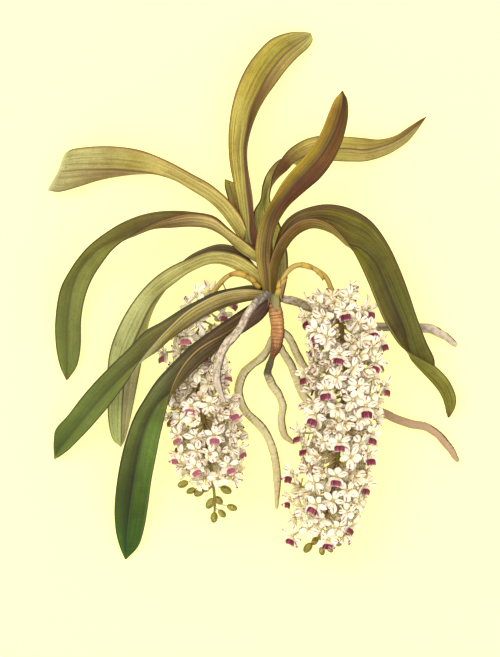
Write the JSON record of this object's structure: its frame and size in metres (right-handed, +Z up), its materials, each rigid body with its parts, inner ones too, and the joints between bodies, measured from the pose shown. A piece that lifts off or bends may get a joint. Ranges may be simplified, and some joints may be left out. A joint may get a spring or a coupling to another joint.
{
  "type": "foxtail orchid plant",
  "caption": "Bare-rooted flowering orchid laid flat: a fan of strap leaves, a ringed stem, loose roots and hanging cylindrical sprays of small spotted flowers.",
  "frame": {"origin": "middle of the plant seen from above, on the surface it lies on", "axes": "+Y from the flower sprays towards the growing tip, +X to the right seen from above, +Z up from the surface"},
  "size_m": [0.3108, 0.4, 0.0624],
  "materials": {
    "leaf_green": "satin, leathery",
    "leaf_olive": "satin, leathery",
    "root": "matt, papery",
    "stem": "matt, ringed",
    "scale": "dry, papery",
    "stalk": "satin",
    "flower": "soft, waxy petals",
    "bud": "satin"
  },
  "bodies": {
    "root": {"bract_left": "scale", "bract_right_lower": "scale", "bract_right_upper": "scale", "leaf_back_right": "leaf_olive", "leaf_front_spear": "leaf_olive", "leaf_left_arching": "leaf_green", "leaf_left_front": "leaf_green", "leaf_left_pale": "leaf_olive", "leaf_lower_front": "leaf_green", "leaf_right_arching": "leaf_green", "leaf_top_centre": "leaf_olive", "leaf_upper_left": "leaf_olive", "leaf_young_behind": "leaf_green", "raceme_left_buds_1": "bud", "raceme_left_buds_2": "bud", "raceme_left_flowers_01": "flower", "raceme_left_flowers_02": "flower", "raceme_left_flowers_03": "flower", "raceme_left_flowers_04": "flower", "raceme_left_flowers_05": "flower", "raceme_left_flowers_06": "flower", "raceme_left_flowers_07": "flower", "raceme_left_flowers_08": "flower", "raceme_left_flowers_09": "flower", "raceme_left_flowers_10": "flower", "raceme_left_flowers_11": "flower", "raceme_left_flowers_12": "flower", "raceme_left_stalk": "stalk", "raceme_right_buds_1": "bud", "raceme_right_flowers_01": "flower", "raceme_right_flowers_02": "flower", "raceme_right_flowers_03": "flower", "raceme_right_flowers_04": "flower", "raceme_right_flowers_05": "flower", "raceme_right_flowers_06": "flower", "raceme_right_flowers_07": "flower", "raceme_right_flowers_08": "flower", "raceme_right_flowers_09": "flower", "raceme_right_flowers_10": "flower", "raceme_right_flowers_11": "flower", "raceme_right_flowers_12": "flower", "raceme_right_flowers_13": "flower", "raceme_right_flowers_14": "flower", "raceme_right_stalk": "stalk", "root_front_left": "root", "root_long_centre": "root", "root_right_long": "root", "root_right_short": "root", "root_right_upper": "root", "root_short_centre": "root", "stem_ringed": "stem"}
  },
  "joints": []
}
